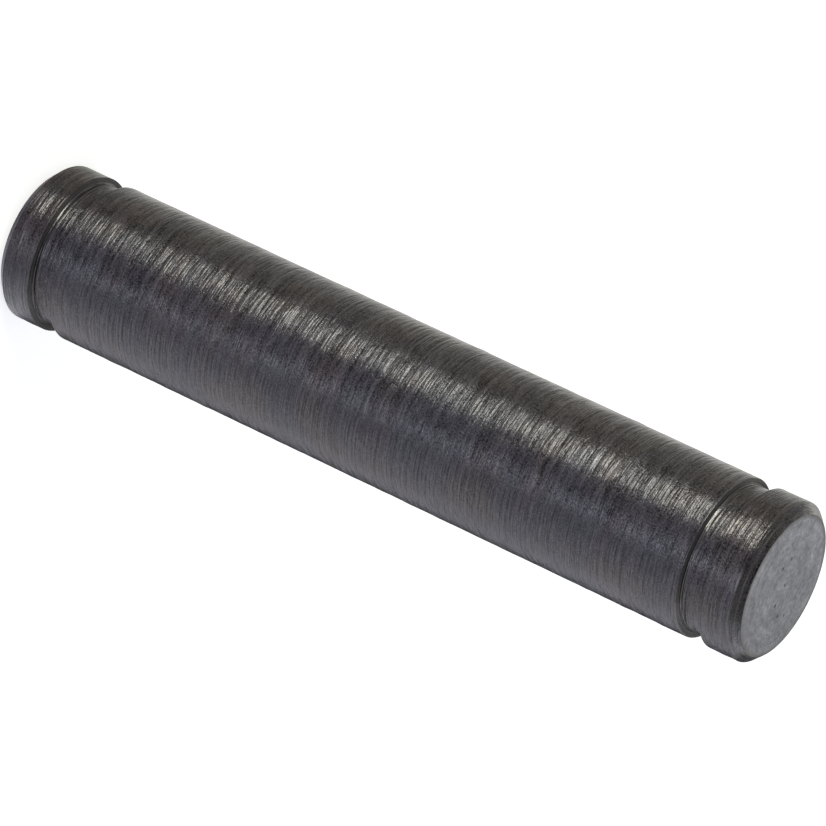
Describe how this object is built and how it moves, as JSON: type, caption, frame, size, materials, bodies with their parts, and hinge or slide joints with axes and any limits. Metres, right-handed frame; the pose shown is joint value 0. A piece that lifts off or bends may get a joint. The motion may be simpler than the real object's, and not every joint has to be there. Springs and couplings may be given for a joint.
{
  "type": "handle pin",
  "caption": "Plain turned steel pin with a shallow square ring groove near each chamfered end, for carrying a handle or lever between retaining rings.",
  "frame": {"origin": "centre of the lower end face, on which the pin stands", "axes": "+Z along the pin, from the lower end face to the upper one; X and Y are free, as the pin is round"},
  "size_m": [0.016, 0.016, 0.0852],
  "materials": {
    "steel": "dark turned steel, satin, polished round the axis with emery"
  },
  "bodies": {
    "root": {"handle_pin": "steel"}
  },
  "joints": []
}
